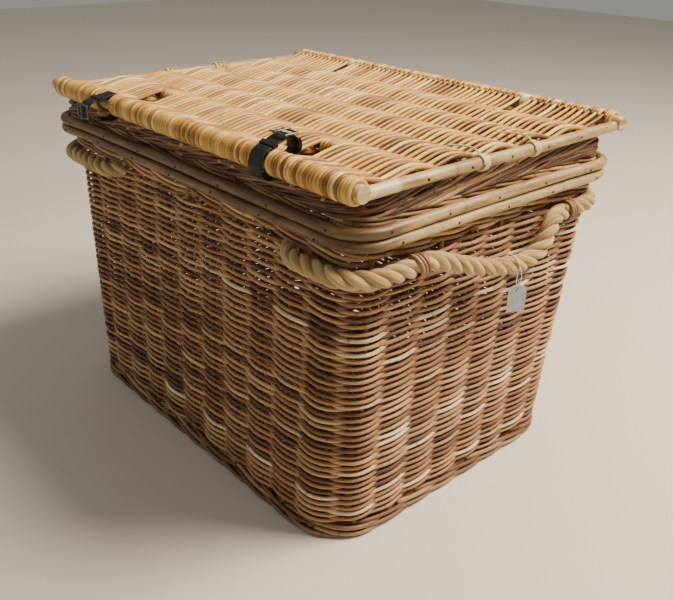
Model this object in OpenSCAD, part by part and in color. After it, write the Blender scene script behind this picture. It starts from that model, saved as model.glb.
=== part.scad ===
// Laundry hamper with a hinged lid: woven rattan basket, two bare hoops round the rim,
// a lid woven between two poles, leather straps with buckles, and a rope handle at each end.
// Millimetres. Origin at the middle of the underside of the base, +X towards the right-hand
// end, -Y towards the front with the straps, +Z up.

/* [Basket] */
// Outside length at the floor
base_l = 668; // [540:1:820]
// Outside depth at the floor
base_w = 496; // [400:1:620]
// Outside corner radius at the floor
base_r = 85; // [60:1:110]
// Outside length under the rim
top_l = 689; // [560:1:840]
// Outside depth under the rim
top_w = 463; // [380:1:580]
// Outside corner radius under the rim
top_r = 36; // [26:1:60]
// Height of the top of the woven border
border_top = 486; // [400:1:600]
// Depth of the woven border above the hoops
border_h = 30; // [26:1:44]
// Depth of the band of heavy rods behind and below the hoops
wale_h = 44; // [40:1:60]
// Thickness of the woven walls
wall_t = 17; // [14:0.5:22]
// Height of the foot band
foot_h = 22; // [16:1:30]
// How far the foot band stands out past the wall above it
foot_bulge = 4; // [2:0.5:8]
// Thickness of the woven base
base_t = 14; // [12:0.5:20]

/* [Stakes] */
// Number of upright stakes round the basket
stake_n = 38; // [30:2:46]
// Diameter of a stake
stake_d = 8; // [6:0.5:10]
// Number of sticks across the base
base_stick_n = 9; // [5:1:13]
// Diameter of a base stick
base_stick_d = 9; // [6:0.5:10]

/* [Hoops] */
// Diameter of the bare hoop poles
hoop_d = 15; // [12:0.5:18]
// Line where the two hoops touch, down from the underside of the border
hoop_drop = 15.5; // [12:0.5:20]
// About how far apart the nails are along a hoop
nail_pitch = 94; // [70:1:130]
// Diameter of a nail head
nail_d = 3; // [2:0.5:5]

/* [Lid] */
// Diameter of the front and back poles
pole_d = 20; // [16:0.5:24]
// Thickness of the rods wrapped round the poles
wrap_t = 5; // [4:0.1:6]
// Height of the pole axes above the border
pole_rise = 14; // [13:0.5:20]
// Front pole axis out from the border's outside
front_out = 9; // [6:0.5:14]
// Back pole axis out from the border's outside
back_out = 17.5; // [15:0.5:22]
// Rail axis out from the border's outside
rail_out = -1.5; // [-6:0.5:12]
// How far the lid sits off the basket's middle, towards the right
lid_mid = 10; // [-10:0.5:10]
// How far the poles run on past the rail axes
pole_over = 9; // [6:0.5:20]
// Diameter of a side rail
rail_d = 15; // [12:0.5:18]
// Height of the rails and sticks below the pole axes
rail_drop = 3.5; // [0:0.5:3.5]
// Number of sticks that the lid is woven on
lid_stick_n = 5; // [4:1:9]
// Diameter of a lid stick
lid_stick_d = 9; // [6:0.5:10]
// From a pole's axis to the nearest stick
stick_end = 98; // [40:1:110]
// Diameter of a lid strand
strand_d = 5.5; // [4:0.5:7]

/* [Hinges and bindings] */
// Places of the left and the right hinge loop along the back pole
hinge_at = [-176, 204];
// Width of a hinge loop
hinge_w = 14; // [8:1:24]
// Diameter of the cane in the loops and bindings
cane_d = 4; // [3:0.5:5]
// Running clearance of the back pole in its loops
hinge_gap = 0.3; // [0.2:0.1:0.6]
// Width of a rail binding
binding_w = 8; // [5:0.5:12]

/* [Straps] */
// Places of the left and the right strap along the front pole
strap_at = [-164.5, 204.5];
// Strap width
strap_w = 24; // [18:1:30]
// Leather thickness
strap_t = 2.5; // [2:0.1:4]
// Room at each side of a strap in the weave and the border
strap_gap = 3; // [2:0.5:6]
// Depth of the notch for a strap in the border
strap_notch = 25; // [22:1:30]
// Width of a strap keeper
keeper_w = 7; // [5:0.5:10]
// Thickness of a strap keeper
keeper_t = 1.2; // [1:0.1:1.6]
// Buckle frame length across the strap
buckle_l = 31; // [28:0.5:40]
// Buckle frame length along the strap
buckle_w = 20; // [16:0.5:26]
// Buckle wire diameter
buckle_wire = 2.4; // [2:0.1:3]
// Diameter of a buckle prong
prong_d = 2; // [1.6:0.1:2.4]

/* [Rope handles] */
// Rope diameter
rope_d = 24; // [20:0.5:28]
// Rope's centre line on the wall, down from the band of heavy rods
rope_drop = 16; // [14:1:40]
// Gap between rope and wall
rope_gap = 0.8; // [0.4:0.1:2]
// Straight of rope on the front wall at the right end
lead_front_right = 58; // [40:1:130]
// Straight of rope on the front wall at the left end
lead_front_left = 113; // [40:1:130]
// Straight of rope on the back wall at both ends
lead_back = 66; // [40:1:130]

/* [Tag] */
// Width of the blank card tag
tag_w = 24; // [20:1:30]
// Height of the blank card tag
tag_h = 37; // [30:1:45]
// Thickness of the card
tag_t = 0.8; // [0.6:0.1:1.2]
// Diameter of the tag's string
string_d = 1.4; // [1:0.1:2]

/* [Hidden] */
$fn = 48;

rattan = [0.62, 0.42, 0.24];
golden = [0.80, 0.60, 0.36];
pole_tan = [0.72, 0.58, 0.36];
reddish = [0.50, 0.28, 0.16];
rope_tan = [0.74, 0.60, 0.38];
cane_pale = [0.86, 0.75, 0.50];
leather_black = [0.09, 0.09, 0.10];
steel = [0.66, 0.66, 0.68];
nail_dark = [0.16, 0.13, 0.11];
card_grey = [0.78, 0.78, 0.80];
string_white = [0.90, 0.90, 0.88];

wale_top = border_top - border_h;
side_top = wale_top - wale_h;
foot_in = [base_l / 2 - foot_bulge, base_w / 2 - foot_bulge, base_r - foot_bulge];
rim_out = [top_l / 2, top_w / 2, top_r];

// Half length, half depth and corner radius of the wall's outside at height z
function wall_at(z) = let (t = (z - foot_h) / (side_top - foot_h)) foot_in + (rim_out - foot_in) * t;

// The point at distance s along a rounded rectangle (half sizes and radius in o), counted
// from the middle of the right-hand side towards the back
function on_side(o, s) =
    let (a = o[1] - o[2], b = 2 * (o[0] - o[2]), q = PI / 2 * o[2])
    s < a ? [o[0], s] :
    s < a + q ? let (w = (s - a) / o[2] * 180 / PI) [o[0] - o[2] + o[2] * cos(w), a + o[2] * sin(w)] :
    s < a + q + b ? [o[0] - o[2] - (s - a - q), o[1]] :
    let (r = on_side(o, s - (a + q + b) < q + a ? s - (a + q + b) + a : 0), u = s - (a + q + b))
    u < q ? let (w = u / o[2] * 180 / PI) [-(o[0] - o[2]) - o[2] * sin(w), a + o[2] * cos(w)] :
    [-o[0], a - (u - q)];
function round_length(o) = 4 * (o[0] - o[2]) + 4 * (o[1] - o[2]) + 2 * PI * o[2];
// The same point at a share u of the way round, 0 to 1
function on_round(o, u) =
    let (half = round_length(o) / 2, s = u * round_length(o))
    s <= half ? on_side(o, s) : -on_side(o, s - half);

stake_line = [for (i = [0 : stake_n - 1]) (i + 0.5) / stake_n];
function stake_at(i, z) = on_round(wall_at(z) - wall_t / 2 * [1, 1, 1], stake_line[i]);
stake_low = 2;
corner_steps = 12;
stake_top = wale_top + 6;

pole_z = border_top + pole_rise;
front_y = -(top_w / 2 + front_out);
back_y = top_w / 2 + back_out;
rail_x = top_l / 2 + rail_out;
pole_l = 2 * (rail_x + pole_over);
lid_z = pole_z - rail_drop;
function stick_y(k) =
    front_y + stick_end + (k - 1) * (back_y - front_y - 2 * stick_end) / (lid_stick_n - 1);
weave_t = lid_stick_d + 2 * strand_d;
weave_l = 2 * (rail_x - rail_d / 2 - 3.5);
binding_y = [-45, 54];
strap_hole_y = front_y + stick_end - lid_stick_d / 2 - 1;
loop_out = pole_d / 2 + hinge_gap + cane_d;

hoop_z = wale_top - hoop_drop;
hoop_off = hoop_d / 2 + 0.2;
hoop_line = rim_out + hoop_off * [1, 1, 1];
nail_l = hoop_d / 2 + 12;
nail_shift = 9;
// Half straights of the hoops at an end and at a face, and the nails along each
hoop_end = hoop_line[1] - hoop_line[2];
hoop_face = hoop_line[0] - hoop_line[2];
end_nails = round(hoop_end / nail_pitch);
face_nails = round(hoop_face / nail_pitch);

// Strap loops in the YZ plane: centre y and z of the two upper bends, front one first, and of
// the bend under the pole, from the pole's axis, each with its outside radius
right_loop = [[-3, 2, 15], [24, 13, 14.5], [-4, -5, 16]];
left_loop = [[-29, -5, 14], [1, 1, 14.5], [-6, -8, 14.5]];
// A place on a bend at angle a, and one on the upper straight between two bends: y and z from
// the front pole's axis, then the angle of the leather's outward normal
function on_bend(b, a) = [b[0] + b[2] * cos(a), b[1] + b[2] * sin(a), a];
function on_straight(bends, share) =
    let (v = [bends[1][0] - bends[0][0], bends[1][1] - bends[0][1]], lean = asin((bends[1][2] - bends[0][2]) / norm(v)),
         a = atan2(v[1], v[0]) + lean + 90, run = share * norm(v) * cos(lean))
    [bends[0][0] + bends[0][2] * cos(a) + run * sin(a), bends[0][1] + bends[0][2] * sin(a) - run * cos(a), a];
right_seat = on_bend(right_loop[1], 92);
left_seat = on_bend(left_loop[0], 180);
frame_lift = buckle_wire / 2 + 0.2;

rope_r = rope_d / 2;
rope_z = side_top - rope_drop;
rope_line = wall_at(rope_z) + (rope_r + rope_gap) * [1, 1, 1];
// Right-hand grip from its front to its back anchor: out from the anchors, along, up
grip_points = [
    [0, -138, 0], [0, -126, 0], [1, -114, -3], [3, -96, -9], [6, -74, -17], [9, -50, -25], [12, -24, -32],
    [14, 4, -37], [15, 30, -40], [15, 50, -39], [15, 66, -34], [14, 79, -25], [12, 90, -14], [8, 102, -6],
    [3, 115, -1], [0, 126, 0], [0, 138, 0]
];
rope_sides = 12;
grip_end = grip_points[0][1];
lead_gap = 0.5;
lead_steps = 6;
tag_y = 12;
tag_out = 29.5;
knot_drop = -39;
string_l = 22;

module rounded(o) {
    square([2 * o[0], 2 * (o[1] - o[2])], center = true);
    square([2 * (o[0] - o[2]), 2 * o[1]], center = true);
    for (x = [-1, 1], y = [-1, 1])
        translate([x * (o[0] - o[2]), y * (o[1] - o[2])])
            circle(r = o[2]);
}

module ring(o, t, low, high) {
    translate([0, 0, low])
        linear_extrude(high - low)
            difference() {
                rounded(o);
                rounded(o - t * [1, 1, 1]);
            }
}

module rod(a, b, d) {
    v = b - a;
    translate(a)
        rotate([0, acos(v[2] / norm(v)), atan2(v[1], v[0])])
            cylinder(d = d, h = norm(v));
}

// A round bar bent to one side of a rounded rectangle: from the front or back face, round a
// corner, to the end face; in the quarter with positive x and y
module corner_bar(o, d, from_x, to_y) {
    rod([from_x, o[1], 0], [o[0] - o[2], o[1], 0], d);
    rod([o[0], o[1] - o[2], 0], [o[0], to_y, 0], d);
    translate([o[0] - o[2], o[1] - o[2], 0])
        rotate_extrude(angle = 90)
            translate([o[2], 0])
                circle(d = d);
}

module hoop(z) {
    for (x = [0, 1], y = [0, 1])
        mirror([x, 0, 0])
            mirror([0, y, 0])
                translate([0, 0, z])
                    corner_bar(hoop_line, hoop_d, 0, 0);
}

module tube(points, r, sides) {
    n = len(points);
    rings = [for (i = [0 : n - 1])
        let (a = points[max(i - 1, 0)], b = points[min(i + 1, n - 1)], t = (b - a) / norm(b - a),
             u0 = cross(t, [0, 0, 1]), u = u0 / norm(u0), v = cross(t, u))
        [for (k = [0 : sides - 1]) points[i] + r * (u * cos(360 * k / sides) + v * sin(360 * k / sides))]];
    faces = concat(
        [[for (k = [0 : sides - 1]) k]],
        [for (i = [0 : n - 2], k = [0 : sides - 1])
            let (a = i * sides + k, b = i * sides + (k + 1) % sides)
            [a, a + sides, b + sides, b]],
        [[for (k = [sides - 1 : -1 : 0]) (n - 1) * sides + k]]);
    polyhedron([for (c = rings, p = c) p], faces, convexity = 4);
}

// ---- Basket ----

module base_panel() {
    color(rattan)
        linear_extrude(base_t)
            rounded(foot_in - wall_t * [1, 1, 1]);
}

module base_sticks() {
    reach = foot_in[1] - wall_t;
    span = 2 * (foot_in[0] - wall_t - foot_in[2] + wall_t) / (base_stick_n - 1);
    color(pole_tan)
        for (i = [0 : base_stick_n - 1])
            let (x = (i - (base_stick_n - 1) / 2) * span)
            rod([x, -reach, base_t / 2], [x, reach, base_t / 2], base_stick_d);
}

module side_stakes() {
    color(pole_tan)
        for (i = [0 : stake_n - 1])
            let (a = stake_at(i, stake_low), b = stake_at(i, stake_top))
            rod([a[0], a[1], stake_low], [b[0], b[1], stake_top], stake_d);
}

// The corner points of a rounded rectangle at height z, in order
function outline(o, z) = [
    for (c = [0 : 3], k = [0 : corner_steps])
        let (w = 90 * (c + k / corner_steps), x = c == 0 || c == 3 ? 1 : -1, y = c < 2 ? 1 : -1)
        [x * (o[0] - o[2]) + o[2] * cos(w), y * (o[1] - o[2]) + o[2] * sin(w), z]
];

module woven_sides() {
    t = wall_t * [1, 1, 1];
    loops = [
        outline(wall_at(foot_h), foot_h), outline(wall_at(side_top), side_top),
        outline(wall_at(side_top) - t, side_top), outline(wall_at(foot_h) - t, foot_h)
    ];
    n = len(loops[0]);
    color(rattan)
        polyhedron(
            [for (l = loops, p = l) p],
            [for (i = [0 : 3], k = [0 : n - 1])
                let (m = (i + 1) % 4, q = (k + 1) % n)
                [i * n + k, m * n + k, m * n + q, i * n + q]],
            convexity = 4);
}

module foot_wale() {
    color(reddish)
        ring([base_l / 2, base_w / 2, base_r], wall_t + foot_bulge, 0, foot_h);
}

module upper_wale() {
    color(rattan)
        ring(rim_out, wall_t, side_top, wale_top);
}

module top_border() {
    color(reddish)
        difference() {
            ring(rim_out, wall_t, wale_top, border_top);
            for (x = strap_at)
                translate([x - strap_w / 2 - strap_gap, -top_w / 2 - 1, border_top - strap_notch])
                    cube([strap_w + 2 * strap_gap, wall_t + 2, strap_notch + 1]);
        }
}

module upper_hoop() {
    color(pole_tan)
        hoop(hoop_z + hoop_d / 2);
}

module lower_hoop() {
    color(pole_tan)
        hoop(hoop_z - hoop_d / 2 - 0.1);
}

module hoop_nails() {
    // Nails stand a little proud of the hoops and end inside the wall
    out = hoop_d / 2 + 0.6;
    color(nail_dark)
        for (z = [hoop_z + hoop_d / 2, hoop_z - hoop_d / 2], s = [-1, 1]) {
            for (k = [-end_nails : end_nails])
                let (y = k * (hoop_end - nail_shift) / end_nails + (z > hoop_z ? -1 : 1) * nail_shift, x = s * hoop_line[0])
                rod([x + s * out, y, z], [x - s * nail_l, y, z], nail_d);
            for (k = [-face_nails : face_nails])
                let (x = k * (hoop_face - nail_shift) / face_nails + (z > hoop_z ? 1 : -1) * nail_shift, y = s * hoop_line[1])
                rod([x, y + s * out, z], [x, y - s * nail_l, z], nail_d);
        }
}

module hinge_loops() {
    color(cane_pale)
        for (x = hinge_at)
            translate([x - hinge_w / 2, back_y, pole_z])
                rotate([90, 0, 90]) {
                    linear_extrude(hinge_w)
                        difference() {
                            circle(r = loop_out);
                            circle(r = loop_out - cane_d);
                        }
                    // The tail goes down through the border's outer rods
                    rotate([0, 0, -135])
                        translate([loop_out - cane_d / 2, -cane_d / 2, 0])
                            cube([back_out + 4, cane_d, hinge_w]);
                }
}

// ---- Rope handles ----

// From where the rope leaves the wall, round the corner, to the end of the grip
module rope_lead(straight) {
    bend = [for (k = [0 : lead_steps])
        let (w = 90 - 90 * k / lead_steps)
        [rope_line[0] - rope_line[2] * (1 - cos(w)), rope_line[1] - rope_line[2] * (1 - sin(w)), rope_z]];
    start = [rope_line[0] - rope_line[2] - straight, rope_line[1], rope_z];
    end = [rope_line[0], -grip_end + lead_gap, rope_z];
    color(rope_tan)
        tube(concat([start, (start + bend[0]) / 2], bend, [end]), rope_r, rope_sides);
}

module right_rope_front_lead() {
    mirror([0, 1, 0]) rope_lead(lead_front_right);
}

module right_rope_back_lead() {
    rope_lead(lead_back);
}

module left_rope_front_lead() {
    mirror([1, 0, 0]) mirror([0, 1, 0]) rope_lead(lead_front_left);
}

module left_rope_back_lead() {
    mirror([1, 0, 0]) rope_lead(lead_back);
}

module right_rope_grip() {
    color(rope_tan)
        tube([for (p = grip_points) [rope_line[0] + p[0], p[1], rope_z + p[2]]], rope_r, rope_sides);
}

module left_rope_grip() {
    mirror([1, 0, 0]) right_rope_grip();
}

// ---- Tag ----

module at_knot() {
    translate([rope_line[0] + tag_out, tag_y, rope_z + knot_drop])
        children();
}

module tag_loop() {
    color(string_white)
        translate([rope_line[0] + 14, tag_y, rope_z - 37.5])
            rotate([90, 0, 8])
                rotate_extrude()
                    translate([rope_r + string_d / 2 + 0.6, 0])
                        circle(d = string_d);
}

module tag_string() {
    color(string_white)
        at_knot() {
            sphere(d = string_d * 1.8);
            translate([0, 0, -string_l])
                cylinder(d = string_d, h = string_l);
        }
}

module price_tag() {
    clip = 5;
    color(card_grey)
        at_knot()
            translate([0, 0, -string_l])
                rotate([90, 0, 60])
                    translate([0, 0, -tag_t / 2])
                        linear_extrude(tag_t)
                            polygon([
                                [-tag_w / 2 + clip, 0], [tag_w / 2 - clip, 0], [tag_w / 2, -clip],
                                [tag_w / 2, -tag_h], [-tag_w / 2, -tag_h], [-tag_w / 2, -clip]
                            ]);
}

// ---- Lid ----

module pole(y) {
    rod([lid_mid - pole_l / 2, y, pole_z], [lid_mid + pole_l / 2, y, pole_z], pole_d);
}

module lid_front_pole() {
    color(golden) pole(front_y);
}

module lid_back_pole() {
    color(golden) pole(back_y);
}

// A rail's ends are hollowed to sit against the poles
module rail(side) {
    x = lid_mid + side * rail_x;
    color(pole_tan)
        difference() {
            rod([x, front_y + pole_d / 4, lid_z], [x, back_y - pole_d / 4, lid_z], rail_d);
            pole_bores();
        }
}

module lid_left_rail() {
    rail(-1);
}

module lid_right_rail() {
    rail(1);
}

module pole_bores() {
    for (y = [front_y, back_y])
        rod([lid_mid - pole_l, y, pole_z], [lid_mid + pole_l, y, pole_z], pole_d);
}

module lid_sticks() {
    reach = rail_x - rail_d / 2;
    color(golden)
        for (k = [1 : lid_stick_n])
            rod([lid_mid - reach, stick_y(k), lid_z], [lid_mid + reach, stick_y(k), lid_z], lid_stick_d);
}

module lid_weave() {
    wrap_d = pole_d + 2 * wrap_t;
    strap_room = strap_w + 2 * strap_gap;
    loop_room = hinge_w + 4;
    color(golden)
        difference() {
            union() {
                translate([lid_mid - weave_l / 2, front_y, lid_z - weave_t / 2])
                    cube([weave_l, back_y - front_y, weave_t]);
                for (y = [front_y, back_y])
                    rod([lid_mid - weave_l / 2, y, pole_z], [lid_mid + weave_l / 2, y, pole_z], wrap_d);
            }
            pole_bores();
            for (x = strap_at)
                translate([x - strap_room / 2, front_y - wrap_d, pole_z - wrap_d])
                    cube([strap_room, strap_hole_y - front_y + wrap_d, 2 * wrap_d]);
            for (x = hinge_at)
                translate([x - loop_room / 2, back_y - loop_out - 3, pole_z - wrap_d])
                    cube([loop_room, 2 * wrap_d, 2 * wrap_d]);
        }
}

module lid_rail_nails() {
    color(nail_dark)
        for (s = [-1, 1], k = [1 : lid_stick_n])
            let (y = stick_y(k), x = rail_x + rail_d / 2 + 0.6)
            rod([lid_mid + s * x, y, lid_z], [lid_mid + s * (x - rail_d - 9), y, lid_z], nail_d);
}

module lid_rail_bindings() {
    color(cane_pale)
        for (s = [-1, 1], y = binding_y)
            translate([lid_mid + s * rail_x, y + binding_w / 2, lid_z])
                rotate([90, 0, 0])
                    linear_extrude(binding_w)
                        difference() {
                            circle(d = rail_d + 4);
                            circle(d = rail_d);
                        }
}

// ---- Straps ----

module belt(bends, inset) {
    hull()
        for (b = bends)
            translate([b[0], b[1]])
                circle(r = b[2] - inset, $fn = 32);
}

// Which of the two straps: 0 is the left one, 1 the right one
module strap(side, bends) {
    color(leather_black)
        translate([strap_at[side] - strap_w / 2, front_y, pole_z])
            rotate([90, 0, 90])
                linear_extrude(strap_w)
                    difference() {
                        belt(bends, 0);
                        belt(bends, strap_t);
                    }
}

module right_strap() {
    strap(1, right_loop);
}

module left_strap() {
    strap(0, left_loop);
}

// Puts its children on a strap: x across the strap, y along it, z out from the leather
module on_strap(side, seat) {
    translate([strap_at[side], front_y + seat[0], pole_z + seat[1]])
        rotate([seat[2] - 90, 0, 0])
            rotate([0, 0, side == 1 ? 0 : 180])
                children();
}

module keeper(side, bends) {
    color(leather_black)
        on_strap(side, on_straight(bends, 0.35))
            rotate([90, 0, 0])
                linear_extrude(keeper_w, center = true)
                    translate([0, -strap_t / 2])
                        difference() {
                            square([strap_w + 2 * keeper_t, strap_t + 2 * keeper_t], center = true);
                            square([strap_w, strap_t], center = true);
                        }
}

module right_strap_keeper() {
    keeper(1, right_loop);
}

module left_strap_keeper() {
    keeper(0, left_loop);
}

module buckle_frame() {
    x = (buckle_l - buckle_wire) / 2;
    y = (buckle_w - buckle_wire) / 2;
    color(steel)
        translate([0, 0, frame_lift]) {
            for (s = [-1, 1]) {
                rod([-x, s * y, 0], [x, s * y, 0], buckle_wire);
                rod([s * x, -y, 0], [s * x, y, 0], buckle_wire);
                for (t = [-1, 1])
                    translate([s * x, t * y, 0])
                        sphere(d = buckle_wire);
            }
        }
}

module buckle_prong() {
    y = (buckle_w - buckle_wire) / 2;
    lift = (buckle_wire + prong_d) / 2 + 0.2;
    color(steel)
        translate([0, -y, frame_lift]) {
            rotate([90, 0, 90])
                translate([0, 0, -prong_d / 2])
                    linear_extrude(prong_d)
                        difference() {
                            circle(r = lift);
                            circle(r = buckle_wire / 2 + 0.1);
                        }
            rod([0, 0, lift], [0, buckle_w, lift], prong_d);
        }
}

module right_buckle_frame() {
    on_strap(1, right_seat) buckle_frame();
}

module left_buckle_frame() {
    on_strap(0, left_seat) buckle_frame();
}

module right_buckle_prong() {
    on_strap(1, right_seat) buckle_prong();
}

module left_buckle_prong() {
    on_strap(0, left_seat) buckle_prong();
}

base_panel();
base_sticks();
side_stakes();
woven_sides();
foot_wale();
upper_wale();
top_border();
upper_hoop();
lower_hoop();
hoop_nails();
hinge_loops();
right_rope_front_lead();
right_rope_back_lead();
left_rope_front_lead();
left_rope_back_lead();
right_rope_grip();
left_rope_grip();
tag_loop();
tag_string();
price_tag();
lid_front_pole();
lid_back_pole();
lid_left_rail();
lid_right_rail();
lid_sticks();
lid_weave();
lid_rail_nails();
lid_rail_bindings();
right_strap();
left_strap();
right_strap_keeper();
left_strap_keeper();
right_buckle_frame();
left_buckle_frame();
right_buckle_prong();
left_buckle_prong();
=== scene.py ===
import math

import bpy
import bmesh
import numpy as np
from mathutils import Matrix, Vector


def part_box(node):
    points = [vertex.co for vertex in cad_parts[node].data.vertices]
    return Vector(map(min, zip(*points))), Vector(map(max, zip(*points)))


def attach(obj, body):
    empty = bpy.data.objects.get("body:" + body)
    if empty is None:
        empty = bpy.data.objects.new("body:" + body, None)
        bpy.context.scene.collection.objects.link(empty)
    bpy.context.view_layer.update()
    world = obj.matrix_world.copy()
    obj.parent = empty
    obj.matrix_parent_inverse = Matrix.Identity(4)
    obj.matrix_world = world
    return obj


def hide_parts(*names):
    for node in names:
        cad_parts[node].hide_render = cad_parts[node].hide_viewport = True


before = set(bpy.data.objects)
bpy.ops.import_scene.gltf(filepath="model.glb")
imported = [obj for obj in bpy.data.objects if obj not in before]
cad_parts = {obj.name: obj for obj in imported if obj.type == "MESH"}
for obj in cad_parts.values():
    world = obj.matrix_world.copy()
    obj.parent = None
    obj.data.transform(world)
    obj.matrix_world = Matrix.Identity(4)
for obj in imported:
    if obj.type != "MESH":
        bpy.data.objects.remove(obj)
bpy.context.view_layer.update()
print("frame loaded")

mm = 0.001
dice = np.random.RandomState(7)


def newSeed():
    # moves a rod's grain along, so that no two rods look alike
    return float(dice.uniform(0, 50))


def corners(node):
    low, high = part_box(node)
    return np.array(low), np.array(high)


# places that everything hangs on

poleLow, poleHigh = corners("lid_front_pole")
backLow, backHigh = corners("lid_back_pole")
footHigh = corners("foot_wale")[1]
rimHigh = corners("upper_wale")[1]
borderLow, borderHigh = corners("top_border")
sideLow, sideHigh = corners("woven_sides")
poleRadius = (poleHigh[2] - poleLow[2]) / 2
poleHeight = (poleHigh[2] + poleLow[2]) / 2
frontY = (poleHigh[1] + poleLow[1]) / 2
backY = (backHigh[1] + backLow[1]) / 2
sideNames = {"right": 1, "left": -1}

# camera

camera = dict(place=(0.9009, -0.7661, 0.7506), yaw=47.64, pitch=26.02, roll=1.25, focal=42.28)


def makeCamera():
    data = bpy.data.cameras.new("camera")
    data.lens = camera["focal"]
    data.sensor_width = 36
    data.clip_start = 0.05
    piece = bpy.data.objects.new("camera", data)
    bpy.context.scene.collection.objects.link(piece)
    turn = Matrix.Rotation(math.radians(camera["yaw"]), 4, "Z")
    tilt = Matrix.Rotation(math.radians(90 - camera["pitch"]), 4, "X")
    roll = Matrix.Rotation(math.radians(camera["roll"]), 4, "Z")
    piece.matrix_world = Matrix.Translation(camera["place"]) @ turn @ tilt @ roll
    bpy.context.scene.camera = piece


makeCamera()
print("camera placed")

# materials


def toLinear(hexColour):
    values = [int(hexColour[i:i + 2], 16) / 255 for i in (1, 3, 5)]
    return [v / 12.92 if v <= 0.04045 else ((v + 0.055) / 1.055) ** 2.4 for v in values] + [1.0]


def addNode(tree, kind, settings=None, links=None):
    # settings: the node's own values or its inputs, by name or number, or a colour ramp's stops
    # links: which socket each input reads
    node = tree.nodes.new("ShaderNode" + kind)
    for name, value in (settings or {}).items():
        if name == "stops":
            elements = node.color_ramp.elements
            while len(elements) < len(value):
                elements.new(0.5)
            for element, (spot, colour) in zip(elements, value):
                element.position = spot
                element.color = toLinear(colour) if isinstance(colour, str) else (colour, colour, colour, 1)
        elif isinstance(name, str) and hasattr(node, name):
            setattr(node, name, value)
        else:
            node.inputs[name].default_value = value
    for name, socket in (links or {}).items():
        tree.links.new(socket, node.inputs[name])
    return node


def newMaterial(name, **shaderSettings):
    material = bpy.data.materials.new(name)
    material.use_nodes = True
    tree = material.node_tree
    shader = tree.nodes["Principled BSDF"]
    for setting, value in shaderSettings.items():
        shader.inputs[setting.replace("_", " ")].default_value = value
    return material, tree, shader


# one colour multiplied by another, through inputs 6 and 7
darken = {"data_type": "RGBA", "blend_type": "MULTIPLY", 0: 1.0}


def readRod(tree):
    # the rod's own tone, and its run: metres along it, how far round it and its seed
    tone = addNode(tree, "Attribute", dict(attribute_name="tone")).outputs["Fac"]
    run = addNode(tree, "Attribute", dict(attribute_name="run")).outputs["Vector"]
    return tone, run


def noiseAlong(tree, run, scale, **settings):
    # noise that follows the rod: its scale along, round and between rods, as readRod gives them
    spread = addNode(tree, "VectorMath", {"operation": "MULTIPLY", 1: scale}, {0: run}).outputs[0]
    return addNode(tree, "TexNoise", dict(Scale=1.0, **settings), {"Vector": spread}).outputs[0]


def toneColour(tree, stops, tone, patch, spread):
    # the rod's tone, pushed up and down by the patches
    centred = addNode(tree, "Math", {"operation": "SUBTRACT", 1: 0.5}, {0: patch}).outputs[0]
    shift = addNode(tree, "Math", {"operation": "MULTIPLY_ADD", 1: spread}, {0: centred, 2: tone}).outputs[0]
    return addNode(tree, "ValToRGB", dict(stops=stops), {0: shift}).outputs[0]


def jointRings(tree, run, perMetre, stops):
    # a ring at each joint of the cane
    along = addNode(tree, "SeparateXYZ", None, {0: run}).outputs
    turned = addNode(tree, "Math", {"operation": "MULTIPLY_ADD", 1: perMetre}, {0: along[0], 2: along[2]})
    part = addNode(tree, "Math", {"operation": "FRACT"}, {0: turned.outputs[0]}).outputs[0]
    return addNode(tree, "ValToRGB", dict(stops=stops), {0: part}).outputs[0]


def addRelief(tree, shader, height, strength, depth):
    relief = addNode(tree, "Bump", {"Strength": strength, "Distance": depth}, {"Height": height})
    tree.links.new(relief.outputs[0], shader.inputs["Normal"])


def rodMaterial(name, stops, roughness, streak=0.35, knots=0.5, bump=0.25, coat=0.0):
    # peeled rattan and willow rods: each rod has its own tone, long streaks of grain, a joint
    # ring every hand's breadth and a slight waxy shine
    material, tree, shader = newMaterial(name, Roughness=roughness, IOR=1.5, Coat_Weight=coat,
                                         Coat_Roughness=0.35)
    tone, run = readRod(tree)
    blotch = noiseAlong(tree, run, (9, 0.6, 1), Detail=3.0)
    body = toneColour(tree, stops, tone, blotch, 0.55)
    grain = noiseAlong(tree, run, (45, 9, 1), Detail=5.0, Roughness=0.65)
    lines = addNode(tree, "ValToRGB", dict(stops=[(0.3, 1 - streak), (0.62, 1.0)]), {0: grain}).outputs[0]
    grained = addNode(tree, "Mix", darken, {6: body, 7: lines}).outputs[2]
    ring = jointRings(tree, run, 7.5, [(0.0, 1 - knots), (0.018, 1 - knots * 0.6), (0.03, 1.0)])
    final = addNode(tree, "Mix", darken, {6: grained, 7: ring}).outputs[2]
    tree.links.new(final, shader.inputs["Base Color"])
    height = addNode(tree, "Math", {"operation": "MULTIPLY"}, {0: grain, 1: ring}).outputs[0]
    addRelief(tree, shader, height, bump, 0.6 * mm)
    return material


def poleMaterial(name, stops, roughness):
    # bare rattan pole with its skin on: olive and straw patches, fine speckle and dark flecks
    material, tree, shader = newMaterial(name, Roughness=roughness, IOR=1.5, Coat_Weight=0.15,
                                         Coat_Roughness=0.3)
    tone, run = readRod(tree)
    patch = noiseAlong(tree, run, (16, 1.6, 1), Detail=4.0, Roughness=0.6)
    body = toneColour(tree, stops, tone, patch, 1.1)
    speck = noiseAlong(tree, run, (220, 16, 1), Detail=4.0, Roughness=0.7)
    dots = addNode(tree, "ValToRGB", dict(stops=[(0.3, 0.3), (0.41, 0.82), (0.6, 1.0)]),
                   {0: speck}).outputs[0]
    final = addNode(tree, "Mix", darken, {6: body, 7: dots}).outputs[2]
    ring = jointRings(tree, run, 4.2, [(0.0, 0.85), (0.014, 0.6), (0.03, 1.0)])
    ringed = addNode(tree, "Mix", darken, {6: final, 7: ring}).outputs[2]
    tree.links.new(ringed, shader.inputs["Base Color"])
    addRelief(tree, shader, speck, 0.2, 0.5 * mm)
    return material


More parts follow.
